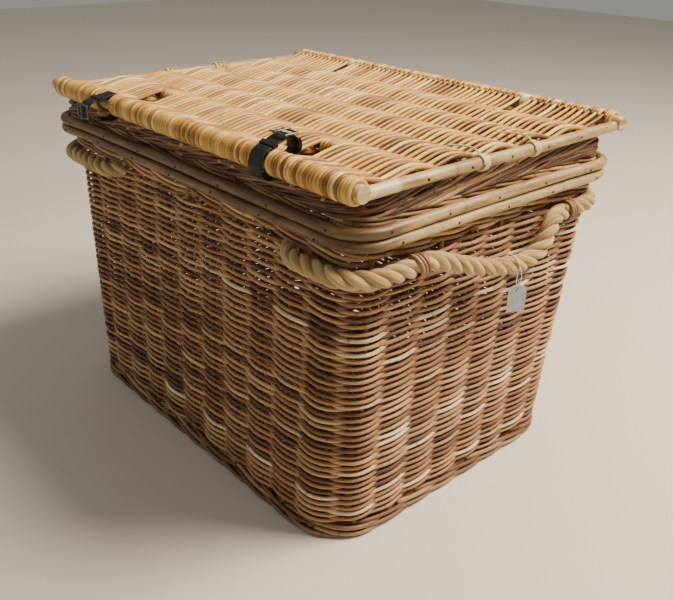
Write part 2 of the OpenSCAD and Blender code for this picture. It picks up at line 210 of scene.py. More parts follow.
def ropeMaterial():
    # laid sisal: straw-coloured fibres nearly along the rope, matt, with dark grooves
    material, tree, shader = newMaterial("sisalRope", Roughness=0.85, IOR=1.45, Sheen_Weight=0.25,
                                         Sheen_Roughness=0.5)
    run = readRod(tree)[1]
    skew = addNode(tree, "Mapping", {"Rotation": (0, 0, 0.02), "Scale": (30, 12, 1)}, {"Vector": run})
    fibre = addNode(tree, "TexNoise", {"Scale": 1.0, "Detail": 6.0, "Roughness": 0.7},
                    {"Vector": skew.outputs[0]}).outputs[0]
    patch = noiseAlong(tree, run, (14, 1.5, 1), Detail=3.0)
    body = addNode(tree, "ValToRGB", dict(stops=[(0.3, "#b18b50"), (0.5, "#d0ae70"), (0.7, "#e6ce92")]),
                   {0: patch}).outputs[0]
    lines = addNode(tree, "ValToRGB", dict(stops=[(0.32, 0.35), (0.48, 0.8), (0.66, 1.0)]),
                    {0: fibre}).outputs[0]
    final = addNode(tree, "Mix", darken, {6: body, 7: lines}).outputs[2]
    tree.links.new(final, shader.inputs["Base Color"])
    addRelief(tree, shader, fibre, 1.0, 1.5 * mm)
    return material


def leatherMaterial():
    # black dyed bridle leather: fine pores, and patches that are worn paler and duller
    material, tree, shader = newMaterial("blackLeather", Roughness=0.5, IOR=1.45)
    where = addNode(tree, "TexCoord").outputs["Object"]
    cells = addNode(tree, "TexVoronoi", {"Scale": 900.0}, {"Vector": where}).outputs[0]
    cloud = addNode(tree, "TexNoise", {"Scale": 120.0, "Detail": 4.0}, {"Vector": where}).outputs[0]
    body = addNode(tree, "ValToRGB", dict(stops=[(0.35, "#0b0a09"), (0.6, "#161412"), (0.75, "#26221d")]),
                   {0: cloud}).outputs[0]
    tree.links.new(body, shader.inputs["Base Color"])
    rough = addNode(tree, "ValToRGB", dict(stops=[(0.3, 0.42), (0.7, 0.66)]), {0: cloud}).outputs[0]
    tree.links.new(rough, shader.inputs["Roughness"])
    addRelief(tree, shader, cells, 0.35, 0.4 * mm)
    return material


def metalMaterial(name, stops, roughness, metallic):
    # cheap plated wire and old nails: small dull patches on a worn surface
    material, tree, shader = newMaterial(name, Metallic=metallic)
    where = addNode(tree, "TexCoord").outputs["Object"]
    cloud = addNode(tree, "TexNoise", {"Scale": 260.0, "Detail": 4.0}, {"Vector": where}).outputs[0]
    body = addNode(tree, "ValToRGB", dict(stops=stops), {0: cloud}).outputs[0]
    tree.links.new(body, shader.inputs["Base Color"])
    rough = addNode(tree, "ValToRGB", dict(stops=[(0.3, roughness - 0.1), (0.7, roughness + 0.12)]),
                    {0: cloud}).outputs[0]
    tree.links.new(rough, shader.inputs["Roughness"])
    return material


def cardMaterial():
    # uncoated grey card, faintly mottled, softened at the edges by handling
    material, tree, shader = newMaterial("greyCard", Roughness=0.9, IOR=1.45)
    where = addNode(tree, "TexCoord").outputs["Object"]
    cloud = addNode(tree, "TexNoise", {"Scale": 220.0, "Detail": 5.0}, {"Vector": where}).outputs[0]
    body = addNode(tree, "ValToRGB", dict(stops=[(0.3, "#a9aeb6"), (0.7, "#c4c7cb")]), {0: cloud}).outputs[0]
    tree.links.new(body, shader.inputs["Base Color"])
    addRelief(tree, shader, cloud, 0.2, 0.2 * mm)
    return material


finishes = dict(
    wall=rodMaterial("wallRods", [(0.0, "#54351f"), (0.18, "#7d5234"), (0.38, "#a5784f"), (0.6, "#c2986a"),
                                  (0.8, "#d6b486"), (0.92, "#e5cda1"), (1.0, "#f4e6c4")], 0.5),
    heavy=rodMaterial("heavyRods", [(0.0, "#4a2e1a"), (0.25, "#754b2d"), (0.45, "#8f6c48"), (0.65, "#a98a62"),
                                    (0.85, "#c08a58"), (1.0, "#dcb684")], 0.5),
    lid=rodMaterial("lidRods", [(0.0, "#7c5022"), (0.25, "#b17c35"), (0.5, "#d6a54d"), (0.75, "#e8c168"),
                                (1.0, "#f8e098")], 0.45, 0.4, 0.3),
    pole=poleMaterial("barePole", [(0.0, "#5a4022"), (0.25, "#836339"), (0.45, "#a98a58"), (0.65, "#c6ab78"),
                                   (0.85, "#d9c394"), (1.0, "#eadbb4")], 0.5),
    stake=rodMaterial("stakeRods", [(0.0, "#4a311d"), (0.5, "#7b5a38"), (1.0, "#a07c50")], 0.6),
    cane=rodMaterial("splitCane", [(0.0, "#c9a866"), (0.5, "#e0c88c"), (1.0, "#f0e2b4")], 0.3, 0.2, 0.1, 0.15,
                     0.3),
    rope=ropeMaterial(),
    leather=leatherMaterial(),
    steel=metalMaterial("platedWire", [(0.3, "#4c4b49"), (0.6, "#7b7a77")], 0.45, 1.0),
    nail=metalMaterial("nailHeads", [(0.3, "#1d1713"), (0.7, "#3a2c22")], 0.6, 0.4),
    card=cardMaterial(),
    string=rodMaterial("cottonString", [(0.0, "#cfcdc6"), (1.0, "#f2f0ea")], 0.85, 0.15, 0.0),
)
print("materials made")

# rods: one mesh of many round tubes


def unit(v):
    return v / np.maximum(np.linalg.norm(v, axis=-1, keepdims=True), 1e-12)


def smoothLine(points, steps):
    # a curve through the points, with steps pieces between each pair
    p = np.asarray(points, float)
    p = np.vstack([2 * p[0] - p[1], p, 2 * p[-1] - p[-2]])
    t = np.linspace(0, 1, steps, endpoint=False)[:, None]
    out = []
    for i in range(1, len(p) - 2):
        a, b, c, d = p[i - 1], p[i], p[i + 1], p[i + 2]
        square, cube = 2 * a - 5 * b + 4 * c - d, 3 * b - a - 3 * c + d
        out.append(0.5 * (2 * b + (c - a) * t + square * t ** 2 + cube * t ** 3))
    return np.vstack(out + [p[-2][None]])


def alongPath(path):
    # the distance along the path to each of its points
    return np.concatenate([[0], np.cumsum(np.linalg.norm(np.diff(path, axis=0), axis=1))])


def carriedFrames(path, first):
    # two directions across a path, carried along it without twist
    tangent = unit(np.gradient(path, axis=0))
    u = np.zeros_like(path)
    side = np.asarray(first, float)
    for i, t in enumerate(tangent):
        side = side - t * side.dot(t)
        side = side / np.linalg.norm(side)
        u[i] = side
    return u, np.cross(tangent, u)


def rodParts(rod, sides):
    # one tube: its points, what its material reads at each, and how many rings it has
    # across fixes the direction across the path; without it, first is carried along
    path = np.asarray(rod["path"], float)
    n = len(path)
    if rod.get("across") is None:
        u, v = carriedFrames(path, rod.get("first", (0, 0, 1)))
    else:
        tangent = unit(np.gradient(path, axis=0))
        v = unit(np.cross(tangent, np.asarray(rod["across"], float)))
        u = np.cross(v, tangent)
    turn = np.linspace(0, 2 * np.pi, sides, endpoint=False)
    radius = np.broadcast_to(np.asarray(rod["radius"], float), (n,))[:, None, None]
    ring = np.cos(turn)[None, :, None] * u[:, None] + np.sin(turn)[None, :, None] * v[:, None]
    verts = path[:, None] + radius * ring
    run = np.zeros((n, sides, 3))
    run[..., 0] = alongPath(path)[:, None] + rod.get("start", 0.0)
    run[..., 1] = np.abs(np.linspace(-1, 1, sides, endpoint=False))[None] * 2
    run[..., 2] = rod.get("seed", 0.0)
    return verts.reshape(-1, 3), run.reshape(-1, 3), n


def rodMesh(name, rods, sides, material, reshape=None):
    allVerts, allRuns, allTones, quads, caps = [], [], [], [], []
    base = 0
    for rod in rods:
        verts, run, n = rodParts(rod, sides)
        allVerts.append(verts)
        allRuns.append(run)
        allTones.append(np.repeat(np.broadcast_to(rod.get("tone", 0.5), (n,)), sides))
        i = np.arange(n - 1)[:, None] * sides + base
        k = np.arange(sides)[None]
        q = (k + 1) % sides
        quads.append(np.stack([i + k, i + q, i + sides + q, i + sides + k], -1).reshape(-1, 4))
        caps.append(np.arange(sides)[::-1] + base)
        caps.append(np.arange(sides) + base + (n - 1) * sides)
        base += len(verts)
    verts = np.concatenate(allVerts)
    if reshape:
        verts = reshape(verts)
    quads = np.concatenate(quads)
    caps = np.array(caps)
    mesh = bpy.data.meshes.new(name)
    mesh.vertices.add(len(verts))
    mesh.vertices.foreach_set("co", verts.astype(np.float32).ravel())
    loops = np.concatenate([quads.ravel(), caps.ravel()])
    mesh.loops.add(len(loops))
    mesh.loops.foreach_set("vertex_index", loops.astype(np.int32))
    starts = np.concatenate([np.arange(len(quads)) * 4, len(quads) * 4 + np.arange(len(caps)) * sides])
    mesh.polygons.add(len(starts))
    mesh.polygons.foreach_set("loop_start", starts.astype(np.int32))
    smooth = np.ones(len(starts), bool)
    smooth[len(quads):] = False
    mesh.polygons.foreach_set("use_smooth", smooth)
    mesh.update(calc_edges=True)
    mesh.validate()
    tone = mesh.attributes.new("tone", "FLOAT", "POINT")
    tone.data.foreach_set("value", np.concatenate(allTones).astype(np.float32))
    run = mesh.attributes.new("run", "FLOAT_VECTOR", "POINT")
    run.data.foreach_set("vector", np.concatenate(allRuns).astype(np.float32).ravel())
    mesh.materials.append(material)
    piece = bpy.data.objects.new(name, mesh)
    bpy.context.scene.collection.objects.link(piece)
    return piece


def place(piece, body, slot, *nodes):
    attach(piece, body)
    if nodes:
        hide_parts(*nodes)
    return piece


# rounded rectangles round the basket

wall = dict(footBulge=4 * mm, footRadius=81 * mm, rimRadius=36 * mm, thick=17 * mm, columns=38)


def wallSizes(z):
    # half length, half depth and corner radius of the wall's outside at a height
    t = np.clip((np.asarray(z, float) - sideLow[2]) / (sideHigh[2] - sideLow[2]), -0.1, 1.0)
    low = np.array([footHigh[0] - wall["footBulge"], footHigh[1] - wall["footBulge"], wall["footRadius"]])
    high = np.array([rimHigh[0], rimHigh[1], wall["rimRadius"]])
    return low[:, None] + (high - low)[:, None] * t[None] if t.ndim else low + (high - low) * t


def roundPoint(share, halfX, halfY, radius):
    # points and outward normals at shares of the way round, from the middle of the right-hand side
    # a is half a short side, b a long side and q a corner; the second half is the first turned round
    share, halfX, halfY, radius = np.broadcast_arrays(share, halfX, halfY, radius)
    a, b, q = halfY - radius, 2 * (halfX - radius), np.pi / 2 * radius
    s = np.mod(share, 1) * (4 * a + 2 * b + 4 * q)
    half = 2 * a + b + 2 * q
    flip = np.where(s > half, -1.0, 1.0)
    s = np.where(s > half, s - half, s)
    w1 = (s - a) / radius
    w2 = (s - a - q - b) / radius
    zero = np.zeros_like(s)
    tests = [s < a, s < a + q, s < a + q + b, s < a + 2 * q + b]
    x = np.select(tests, [halfX, halfX - radius + radius * np.cos(w1), halfX - radius - (s - a - q),
                          -(halfX - radius) - radius * np.sin(w2)], -halfX)
    y = np.select(tests, [s, a + radius * np.sin(w1), halfY, a + radius * np.cos(w2)],
                  a - (s - a - 2 * q - b))
    nx = np.select(tests, [zero + 1, np.cos(w1), zero, -np.sin(w2)], -1.0)
    ny = np.select(tests, [zero, np.sin(w1), zero + 1, np.cos(w2)], 0.0)
    return np.stack([x, y], -1) * flip[..., None], np.stack([nx, ny], -1) * flip[..., None]


frontShadeSpan = (0.15, 0.2)  # distances forwards between which the painted shade under the lid's front pole sets in


def ease(low, high, value):
    # rises smoothly from 0 at low to 1 at high
    t = np.clip((value - low) / (high - low), 0, 1)
    return t * t * (3 - 2 * t)


# the basket is a little out of square: its front left and back right corners are drawn outwards
leftCorner = dict(reach=70 * mm, pull=5.5 * mm, fromTo=(0.39, 0.44))
rightCorner = dict(reach=75 * mm, wallPull=7.5 * mm, wallFrom=0.05, wallRise=0.35, rimPull=2.5 * mm,
                   alongX=0.5, alongY=0.85)
backRim = dict(pull=4 * mm, y=(0.10, 0.24), z=(0.41, 0.45))


def nearCorner(verts, signX, signY, reach):
    # 1 at a corner of the rim, falling to 0 away from it
    x, y = verts[:, 0], verts[:, 1]
    return np.exp(-((x - signX * rimHigh[0]) ** 2 + (y - signY * rimHigh[1]) ** 2) / reach ** 2)


def leanRim(verts):
    y, z = verts[:, 1], verts[:, 2]
    out = verts.copy()
    left = nearCorner(verts, -1, -1, leftCorner["reach"]) * ease(*leftCorner["fromTo"], z)
    out[:, 0] -= leftCorner["pull"] * left
    out[:, 1] -= leftCorner["pull"] * left
    wallShare = np.clip((z - rightCorner["wallFrom"]) / rightCorner["wallRise"], 0, 1)
    rimShare = ease(*backRim["z"], z)
    pull = rightCorner["wallPull"] * wallShare + rightCorner["rimPull"] * rimShare
    pull = pull * nearCorner(verts, 1, 1, rightCorner["reach"])
    out[:, 0] += rightCorner["alongX"] * pull
    out[:, 1] += rightCorner["alongY"] * pull + backRim["pull"] * ease(*backRim["y"], y) * rimShare
    return out


def onWall(share, z, out):
    # a point in the wall: out is measured outwards from the middle of its thickness
    z = np.broadcast_to(np.asarray(z, float), np.shape(share))
    size = wallSizes(z)
    inset = wall["thick"] / 2
    flat, normal = roundPoint(share, size[0] - inset, size[1] - inset, size[2] - inset)
    flat = flat + normal * np.asarray(out)[..., None]
    return np.concatenate([flat, z[..., None]], -1)


# rope handles

rope = dict(thick=24 * mm, height=396 * mm, gap=0.8 * mm, lay=60 * mm, strand=5.9 * mm,
            gripEnd=138 * mm, frontRight=248 * mm, frontLeft=193 * mm, back=240 * mm,
            spacing=24 * mm, sunk=4 * mm, sunkReach=60 * mm)
# where the rope dives into a wall, in mm: along the wall, inwards, up
ropeEntry = [(-26, 21, 2), (-14, 12, 1), (0, 2.5, 0), (14, 0, 0)]
# the grip of the right-hand handle, in mm: out from its anchors, along the end wall, up
gripPoints = [
    (0, -138, 0), (0, -126, 0), (1, -114, -3), (3, -96, -9), (6, -74, -17), (9, -50, -25), (12, -24, -32),
    (14, 4, -37), (15, 30, -40), (15, 50, -39), (15, 66, -34), (14, 79, -25), (12, 90, -14), (8, 102, -6),
    (3, 115, -1), (0, 126, 0), (0, 138, 0)
]


def ropeLine():
    # half length, half depth and corner radius of the rope's centre line on the wall
    size = wallSizes(rope["height"])
    return size + rope["thick"] / 2 + rope["gap"]


def ropeRoute(frontX):
    # the whole right-hand handle, from inside the front wall to inside the back wall
    halfX, halfY, radius = ropeLine()
    z = rope["height"]

    def entry(x, signY):
        return [(x + along * mm, signY * (halfY - inward * mm), z + up * mm) for along, inward, up in ropeEntry]

    def straight(x, signY):
        # places on the straight wall, after the one where the rope has come out
        begin = x + ropeEntry[-1][0] * mm
        count = int((halfX - radius - begin) / rope["spacing"])
        return [(begin + rope["spacing"] * k, signY * halfY, z) for k in range(1, count + 1)]

    def corner(angles, centreY):
        return [(halfX - radius + radius * math.cos(w), centreY + radius * math.sin(w), z)
                for w in map(math.radians, angles)]

    route = entry(frontX, -1) + straight(frontX, -1) + corner(range(-75, 1, 15), -halfY + radius)
    route.append((halfX, -halfY + radius + 12 * mm, z))
    route += [(halfX + x * mm, y * mm, z + up * mm) for x, y, up in gripPoints]
    route += corner(range(0, 76, 15), halfY - radius)
    route += (entry(rope["back"], 1) + straight(rope["back"], 1))[::-1]
    return np.array(route)


def ropeStrands(path):
    # three strands laid round the path; returns the strands' paths
    u, v = carriedFrames(path, (0, 0, 1))
    along = alongPath(path)
    reach = rope["thick"] / 2 - rope["strand"]
    strands = []
    for k in range(3):
        w = 2 * np.pi * (along / rope["lay"] + k / 3)
        strands.append(path + reach * (np.cos(w)[:, None] * u + np.sin(w)[:, None] * v))
    return strands


def drawIn(verts):
    # the rope lies deeper in the wall at the back right and front left corners
    out = verts.copy()
    for sign in (1, -1):
        near = nearCorner(verts, sign, sign, rope["sunkReach"])
        out[:, 0] -= sign * rope["sunk"] * near
        out[:, 1] -= sign * rope["sunk"] * near
    return out


def makeRope(side):
    sign = sideNames[side]
    path = smoothLine(ropeRoute(rope["frontRight" if sign > 0 else "frontLeft"]), 10)
    path[:, 0] *= sign
    strands = ropeStrands(path)
    onGrip = (np.abs(path[:, 1]) <= rope["gripEnd"] + 0.2 * mm) & (np.abs(path[:, 0]) > ropeLine()[0] - 2 * mm)
    first, last = np.nonzero(onGrip)[0][[0, -1]]
    spans = dict(front_lead=slice(0, first + 1), grip=slice(first, last + 1), back_lead=slice(last, None))
    for part, span in spans.items():
        isGrip = part == "grip"
        rods = [dict(path=s[span], radius=rope["strand"], tone=0.5, seed=float(k) * 3 + sign,
                     start=0.005 * span.start) for k, s in enumerate(strands)]
        piece = rodMesh(side + "Rope" + part.title().replace("_", ""), rods, 14, finishes["rope"],
                        None if isGrip else drawIn)
        place(piece, side + "_grip" if isGrip else "basket", "rope", side + "_rope_" + part)


# lengths in mm; side by side from first, each a pitch further along the rope
keepers = dict(perEnd=3, rod=2.5, clear=1.6, first=4, pitch=5.2, skew=3)


def makeKeepers():
    # short rods tie the rope to the wall at each end of each grip
    rods = []
    halfX = ropeLine()[0]
    reach = rope["thick"] / 2 + keepers["clear"] * mm
    w = np.radians(np.arange(-125, 126, 18))
    for sign in sideNames.values():
        for end in (-1, 1):
            for k in range(keepers["perEnd"]):
                y = end * (rope["gripEnd"] + (keepers["first"] + keepers["pitch"] * k) * mm)
                path = np.stack([sign * (halfX + reach * np.cos(w)), y + end * keepers["skew"] * mm * np.sin(w),
                                 rope["height"] + reach * np.sin(w)], -1)
                rods.append(dict(path=path, radius=keepers["rod"] * mm, tone=float(dice.uniform(0.3, 0.6)),
                                 across=(0, 1, 0), seed=newSeed()))
    place(rodMesh("ropeKeepers", rods, 8, finishes["heavy"]), "basket", "heavy_rods")


for side in sideNames:
    makeRope(side)
makeKeepers()
print("rope handles laid")

# woven sides

weave = dict(rod=2.78 * mm, pitch=4.75 * mm, low=25 * mm, high=404 * mm, swing=5.6 * mm, steps=8,
             tiltSeen=1.2 * mm, tiltFar=-2.2 * mm, lengths=[4, 6, 8, 10, 12, 16], shortest=4,
             tone=(0.44, 0.15), paleShare=0.05, paleTone=(0.88, 1.0), darkShare=0.12, darkTone=(0.05, 0.2))
stake = dict(radius=4 * mm, foot=4 * mm, pastRim=8 * mm, points=14, jitter=0.045)


def stakeShares():
    jitter = dice.uniform(-stake["jitter"], stake["jitter"], wall["columns"])
    return (np.arange(wall["columns"]) + 0.5 + jitter) / wall["columns"]


stakes = stakeShares()
stakeTurns = np.concatenate([stakes[-1:] - 1, stakes, stakes[:1] + 1])


def shareAt(t):
    # t counts stakes: whole numbers are stakes, halves are the crossings between them
    lap = np.floor(t / wall["columns"])
    return np.interp(t - lap * wall["columns"], np.arange(-1, wall["columns"] + 1), stakeTurns) + lap


def wallRods():
    # each row is several rods end to end, in front of one stake and behind the next
    rods = []
    columns = wall["columns"]
    rows = int((weave["high"] - weave["low"]) / weave["pitch"])
    for row in range(rows):
        z0 = weave["low"] + weave["pitch"] * (row + 0.5)
        start = int(dice.randint(0, columns)) // 2 * 2 + (row % 2)
        done = 0
        phase = dice.uniform(0, 2 * np.pi, 4)
        while done < columns:
            count = min(int(dice.choice(weave["lengths"])), columns - done)
            if columns - done - count < weave["shortest"]:
                count = columns - done
            t = start + done + np.linspace(-0.25, count + 0.25, int((count + 0.5) * weave["steps"]) + 1)
            thick = dice.uniform(0.88, 1.1)
            swing = weave["swing"] * -np.cos(np.pi * (t - row % 2)) * dice.uniform(0.94, 1.05)
            wander = (0.35 * np.sin(t * 0.9 + phase[0]) + 0.3 * np.sin(t * 2.3 + phase[1])
                      + 0.25 * np.sin(t * 0.37 + phase[2]))
            sag = -0.5 * np.cos(2 * np.pi * t) * np.sin(t * 1.7 + phase[3])
            path = onWall(shareAt(t), z0 + (wander + sag) * mm, swing)
            # outside, the rods ride high on the front and right walls and low on the other two
            near = np.maximum(ease(0.28, 0.33, path[:, 0]), ease(0.17, 0.22, -path[:, 1]))
            tilt = weave["tiltSeen"] * near + weave["tiltFar"] * (1 - near)
            path[:, 2] += tilt * swing / weave["swing"]
            tone = float(np.clip(dice.normal(*weave["tone"]), 0.02, 0.82))
            if dice.uniform() < weave["paleShare"]:
                tone = float(dice.uniform(*weave["paleTone"]))
            if dice.uniform() < weave["darkShare"]:
                tone = float(dice.uniform(*weave["darkTone"]))
            taper = np.linspace(1.06, 0.9, len(t))
            rods.append(dict(path=path, radius=weave["rod"] * thick * taper, tone=tone, across=(0, 0, 1),
                             seed=newSeed(), row=row))
            done += count
    return rods, rows


def makeSides():
    # three pieces, one above the other, to keep each mesh small
    rods, rows = wallRods()
    layers = 3
    for layer in range(layers):
        chosen = [rod for rod in rods if rod["row"] * layers // rows == layer]
        piece = rodMesh("wovenSides%d" % (layer + 1), chosen, 6, finishes["wall"], leanRim)
        place(piece, "basket", "wall_weave", "woven_sides")


def makeStakes():
    rods = []
    n = stake["points"]
    z = np.linspace(stake["foot"], borderLow[2] + stake["pastRim"], n)
    for share in stakes:
        rods.append(dict(path=onWall(np.full(n, share), z, np.zeros(n)), first=(0, 1, 0),
                         radius=stake["radius"] * np.linspace(1.0, 0.85, n),
                         tone=float(dice.uniform(0.2, 0.8)), seed=newSeed()))
    place(rodMesh("sideStakes", rods, 10, finishes["stake"], leanRim), "basket", "stake", "side_stakes")


makeSides()
makeStakes()
print("sides woven")

# heavy rods: foot band, upper band and border

# levels in mm above the floor
bands = dict(
    foot=dict(levels=(6.4, 17.0), out=2.2 * mm, swing=4.6 * mm, lift=3.0 * mm, rod=3.3 * mm, tone=(0.2, 0.75)),
    upper=dict(levels=(409, 416, 423, 430.5, 438, 446, 453), out=1.0 * mm, swing=5.2 * mm, lift=3.2 * mm,
               rod=2.9 * mm, tone=(0.25, 1.0)),
)


def bandRods(level, kind):
    # three rods that pass in turn in front of two stakes and behind one
    rods = []
    columns = wall["columns"]
    for k in range(3):
        start = float(dice.uniform(0, columns))
        done = 0
        while done < columns:
            count = min(float(dice.uniform(9, 16)), columns - done)
            t = start + done + np.arange(-0.4, count + 0.4, 0.125)
            angle = -2 * np.pi * (t / 3 + k / 3)
            swing = kind["out"] + kind["swing"] * np.cos(angle)
            z = level + kind["lift"] * np.sin(angle) + 0.5 * mm * np.sin(t * 1.3 + k)
            rods.append(dict(path=onWall(shareAt(t), z, swing), across=(0, 0, 1),
                             tone=float(dice.uniform(*kind["tone"])),
                             radius=kind["rod"] * dice.uniform(0.85, 1.1) * np.linspace(1.05, 0.85, len(t)),
                             seed=newSeed()))
            done += count
    return rods


def makeBand(name, node, kind):
    rods = [rod for level in kind["levels"] for rod in bandRods(level * mm, kind)]
    place(rodMesh(name, rods, 8, finishes["heavy"], leanRim), "basket", "heavy_rods", node)


border = dict(rod=2.8 * mm, top=borderHigh[2] - 3.5 * mm, low=borderLow[2] + 4 * mm, perStake=2, stretch=1.45,
              stubShare=0.3, below=1 * mm)
# a rod's way over the rim: stakes passed, out from the wall's middle, and how far above which line, in mm
borderTurn = [
    (-0.2, -5.5, "low", 0), (0.0, -4.5, "low", 12), (0.25, -2.0, "top", -1), (0.6, 3.2, "top", 0),
    (1.0, 6.0, "top", -5), (1.5, 6.8, "top", -11), (1.95, 6.6, "low", 9), (2.4, 6.4, "low", 3),
    (2.75, 5.0, "low", 0), (3.0, 2.0, "low", 0)
]
# the same for the cut end of a rod that sticks out between the others
stubTurn = [(0.2, -2, 10), (0.33, 4.5, 13), (0.42, 9.5, 15)]


def borderRods():
    # each rod comes up inside, turns over the rim and runs down outside under the later ones
    rods = []
    n = len(borderTurn)
    passed = border["stretch"] * np.array([key[0] for key in borderTurn])
    outwards = np.array([key[1] for key in borderTurn]) * mm
    heights = np.array([border[line] + up * mm for _, _, line, up in borderTurn])
    for i in range(wall["columns"] * border["perStake"]):
        begin = i / border["perStake"]
        thick = border["rod"] * dice.uniform(0.85, 1.15)
        t = begin - passed + dice.uniform(-0.07, 0.07, n)
        out = outwards + dice.uniform(-0.9, 0.9, n) * mm
        z = heights + dice.uniform(-1.5, 1.5, n) * mm
        z = np.minimum(z, border["top"] + 0.5 * mm)
        path = smoothLine(onWall(shareAt(t), z, out), 5)
        # each rod's own tone, painted darker along the front as shade under the lid's front pole
        tone = dice.uniform(0.05, 1.0) * (1 - 0.45 * ease(*frontShadeSpan, -path[:, 1]))
        rods.append(dict(path=path, radius=thick * np.linspace(1.1, 0.85, len(path)), tone=tone,
                         first=(0, 0, 1), seed=newSeed()))
        if dice.uniform() < border["stubShare"]:
            cut = begin - np.array([key[0] for key in stubTurn]) + dice.uniform(-0.1, 0.1)
            z = border["low"] + np.array([key[2] for key in stubTurn]) * mm + dice.uniform(-6, 5) * mm
            stub = onWall(shareAt(cut), z, np.array([key[1] for key in stubTurn]) * mm)
            rods.append(dict(path=stub, radius=thick * 1.05, tone=float(dice.uniform(0.6, 1.0)),
                             first=(0, 0, 1), seed=newSeed()))
    return rods


def makeBorder():
    # one more band of heavy rods lies under the border's own
    rods = borderRods() + bandRods(border["low"] - border["below"], dict(bands["upper"], out=0.5 * mm))
    place(rodMesh("topBorder", rods, 8, finishes["heavy"], leanRim), "basket", "heavy_rods", "top_border")


makeBand("footBand", "foot_wale", bands["foot"])
makeBand("upperBand", "upper_wale", bands["upper"])
makeBorder()
print("bands and border woven")

# bare hoops

# the last number is how far the hoops' tone is lowered along the front: painted shade under the lid's front pole
hoops = dict(grow=0.2 * mm, jointEvery=0.26, swell=0.45 * mm, swellReach=5 * mm, points=420, paintedShade=0.42)
hoopNail = dict(every=94 * mm, stagger=9 * mm, deep=4 * mm, proud=0.5 * mm, radii=(1.6 * mm, 1.6 * mm, 1.1 * mm))


def hoopSizes(node):
    low, high = corners(node)
    radius = (high[2] - low[2]) / 2
    return high, radius, (high[2] + low[2]) / 2, wall["rimRadius"] + radius + hoops["grow"]


def makeHoop(node, name, tone):
    high, radius, z, bend = hoopSizes(node)
    halfX, halfY = high[0] - radius, high[1] - radius
    share = np.linspace(0, 1, hoops["points"])
    begin = float(dice.uniform(0.1, 0.9))
    flat = roundPoint(share + begin, halfX, halfY, bend)[0]
    along = share * (4 * (halfX + halfY) - (8 - 2 * np.pi) * bend)
    wave = 0.35 * np.sin(along * 9 + 1) + 0.25 * np.sin(along * 23)
    path = np.concatenate([flat, (z + wave * mm)[:, None]], 1)
    part = np.mod(along / hoops["jointEvery"] + dice.uniform(), 1)
    swell = hoops["swell"] * np.exp(-((part - 0.5) * hoops["jointEvery"] / hoops["swellReach"]) ** 2)
    # painted shade: the tone drops along the front, where the lid's front pole shades the hoops
    paintedShade = tone - hoops["paintedShade"] * ease(*frontShadeSpan, -path[:, 1])
    rod = dict(path=path, radius=radius - 0.35 * mm + swell, tone=paintedShade, across=(0, 0, 1), seed=newSeed())
    place(rodMesh(name, [rod], 20, finishes["pole"], leanRim), "basket", "bare_pole", node)


def makeHoopNails():
    # along the straight parts of both hoops; the two hoops' nails are staggered
    rods = []
    stagger = hoopNail["stagger"]
    for node, turn in (("upper_hoop", 1), ("lower_hoop", -1)):
        high, radius, z, bend = hoopSizes(node)
        for axis in (0, 1):
            reach = high[axis] - radius - bend
            count = round(reach / hoopNail["every"])
            out = high[1 - axis]
            for side in (1, -1):
                for k in range(-count, count + 1):
                    spot = k * (reach - stagger) / count + stagger * turn * (1 if axis == 0 else -1)
                    path = np.zeros((3, 3))
                    path[:, 1 - axis] = side * np.array([out - hoopNail["deep"], out + 0.1 * mm,
                                                         out + hoopNail["proud"]])
                    path[:, axis] = spot + dice.uniform(-2, 2) * mm
                    path[:, 2] = z + dice.uniform(-1, 1) * mm
                    rods.append(dict(path=path, radius=hoopNail["radii"], first=(0, 0, 1)))
    return rods


makeHoop("upper_hoop", "upperHoop", 0.46)
makeHoop("lower_hoop", "lowerHoop", 0.56)
place(rodMesh("hoopNails", makeHoopNails(), 10, finishes["nail"], leanRim), "basket", "nail", "hoop_nails")
print("hoops bent")

# lid weave

lid = dict(strand=2.98 * mm, pitch=5.45 * mm, sticks=5, stickRadius=4.5 * mm, swing=7.6 * mm, wrap=2.7 * mm,
           strapRoom=15 * mm, hingeRoom=9 * mm, hingeHalf=7 * mm, tone=(0.53, 0.22), darkShare=0.1,
           frontWraps=11 * mm, backWraps=6 * mm)
stickLow, stickHigh = corners("lid_sticks")
stickPlaces = np.linspace(stickLow[1] + lid["stickRadius"], stickHigh[1] - lid["stickRadius"], lid["sticks"])
lidHeight = (stickLow[2] + stickHigh[2]) / 2
strapPlaces = {side: float(sum(corners(side + "_strap"))[0] / 2) for side in sideNames}
loopLow, loopHigh = corners("hinge_loops")
hingePlaces = (loopLow[0] + lid["hingeHalf"], loopHigh[0] - lid["hingeHalf"])


def poleTurn(y, z, degrees, radius):
    # places on a turn round a pole or a stick
    w = np.radians(degrees)
    return list(zip(y + radius * np.cos(w), z + radius * np.sin(w)))


def strandProfile(first, frontOpen, backOpen):
    # the strand's line in the YZ plane; first is +1 where it passes over the first stick
    # where a strap or a hinge loop needs room, it turns back at the end stick, not round the pole
    swing, around = lid["swing"], poleRadius + lid["wrap"]
    if frontOpen:
        points = poleTurn(stickPlaces[0], lidHeight, np.array([305, 262, 221, 180, 139]) * first, swing)
    else:
        points = poleTurn(frontY, poleHeight, np.arange(35, 326, 29) * first, around)
        points.append(((frontY + stickPlaces[0]) / 2, lidHeight - first * 1 * mm))
    for k, y in enumerate(stickPlaces):
        points.append((y, lidHeight + swing * first * (-1) ** k))
        if k + 1 < len(stickPlaces):
            points.append(((y + stickPlaces[k + 1]) / 2, lidHeight))
    last = first * (-1) ** (len(stickPlaces) - 1)
    if backOpen:
        points += poleTurn(stickPlaces[-1], lidHeight, np.array([41, 0, -41, -82, -125]) * last, swing)
    else:
        points.append(((backY + stickPlaces[-1]) / 2, lidHeight - last * 1 * mm))
        points += poleTurn(backY, poleHeight, 180 + np.arange(35, 326, 29) * last, around)
    return np.array(points)


